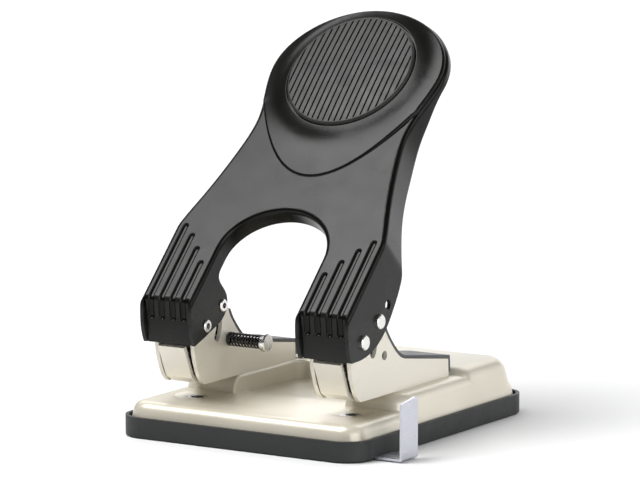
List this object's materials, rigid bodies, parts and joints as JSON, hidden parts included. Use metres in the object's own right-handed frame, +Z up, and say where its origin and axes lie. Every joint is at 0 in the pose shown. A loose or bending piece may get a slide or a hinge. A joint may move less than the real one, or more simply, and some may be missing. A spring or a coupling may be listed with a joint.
{
  "type": "two-hole punch",
  "caption": "Heavy-duty paper punch: a forked lever handle swings two punch pins down through brackets on a stamped base with a chip tray, a lock pin and a sliding paper guide.",
  "frame": {"origin": "centre of the flat face that the punch stands on, under the middle of the tray", "axes": "+X to the right seen from the paper side, +Y towards the back, +Z up; the paper goes in from -Y"},
  "size_m": [0.138, 0.148, 0.1796],
  "materials": {
    "tray_plastic": "fine matte moulded plastic",
    "foot_rubber": "matte rubber",
    "champagne_steel": "satin champagne lacquer on stamped steel",
    "hardened_steel": "ground hardened steel",
    "plated_steel": "zinc plated",
    "spring_steel": "drawn spring wire",
    "black_spring": "blackened spring wire",
    "nickel_steel": "nickel plated, satin",
    "cover_plastic": "matte moulded plastic",
    "dark_enamel": "satin dark grey baked enamel",
    "pad_plastic": "satin moulded plastic with fine ribs",
    "guide_zinc": "bright brushed sheet"
  },
  "bodies": {
    "tray": {"chip_tray": "tray_plastic", "tray_feet": "foot_rubber", "guide_spring": "spring_steel"},
    "frame": {"base_shell": "champagne_steel", "die_left": "hardened_steel", "die_right": "hardened_steel", "bracket_left": "champagne_steel", "bracket_right": "champagne_steel", "bracket_rivets": "plated_steel", "fulcrum_washers": "plated_steel", "channel_cover_left": "cover_plastic", "channel_cover_right": "cover_plastic", "guide_bush_left": "plated_steel", "guide_bush_right": "plated_steel", "return_spring_left": "spring_steel", "return_spring_right": "spring_steel", "lock_spring": "black_spring"},
    "handle_lever": {"handle": "dark_enamel", "thumb_pad": "pad_plastic", "fulcrum_pin_left": "nickel_steel", "fulcrum_pin_right": "nickel_steel", "drive_pin_left": "nickel_steel", "drive_pin_right": "nickel_steel"},
    "left_punch": {"punch_left": "hardened_steel", "punch_cap_left": "plated_steel"},
    "right_punch": {"punch_right": "hardened_steel", "punch_cap_right": "plated_steel"},
    "lock": {"lock_pin": "nickel_steel", "lock_clip": "spring_steel"},
    "guide": {"paper_guide": "guide_zinc"}
  },
  "joints": [
    {"name": "tray_release", "type": "slide", "parent": "tray", "child": "frame", "axis": [0, 0, 1], "range_m": [0, 0.03]},
    {"name": "handle_swing", "type": "hinge", "parent": "frame", "child": "handle_lever", "pos_m": [0, -0.0545, 0.0492], "axis": [-1, 0, 0], "range_deg": [0, 56], "stiffness_Nm_per_rad": 0.6, "springref_deg": -51.57},
    {"name": "punch_left_stroke", "type": "slide", "parent": "frame", "child": "left_punch", "axis": [0, 0, -1], "range_m": [0, 0.0139], "deforming": ["return_spring_left"]},
    {"name": "punch_right_stroke", "type": "slide", "parent": "frame", "child": "right_punch", "axis": [0, 0, -1], "range_m": [0, 0.0139], "deforming": ["return_spring_right"]},
    {"name": "lock_push", "type": "slide", "parent": "frame", "child": "lock", "axis": [-1, 0, 0], "range_m": [0, 0.006], "stiffness_N_per_m": 250, "springref_m": -0.008, "deforming": ["lock_spring"]},
    {"name": "guide_slide", "type": "slide", "parent": "tray", "child": "guide", "axis": [1, 0, 0], "range_m": [-0.011, 0.07]}
  ],
  "couplings": [
    {"joint": "punch_left_stroke", "follows": "handle_swing", "m_per_rad": 0.0141},
    {"joint": "punch_right_stroke", "follows": "handle_swing", "m_per_rad": 0.0141}
  ]
}
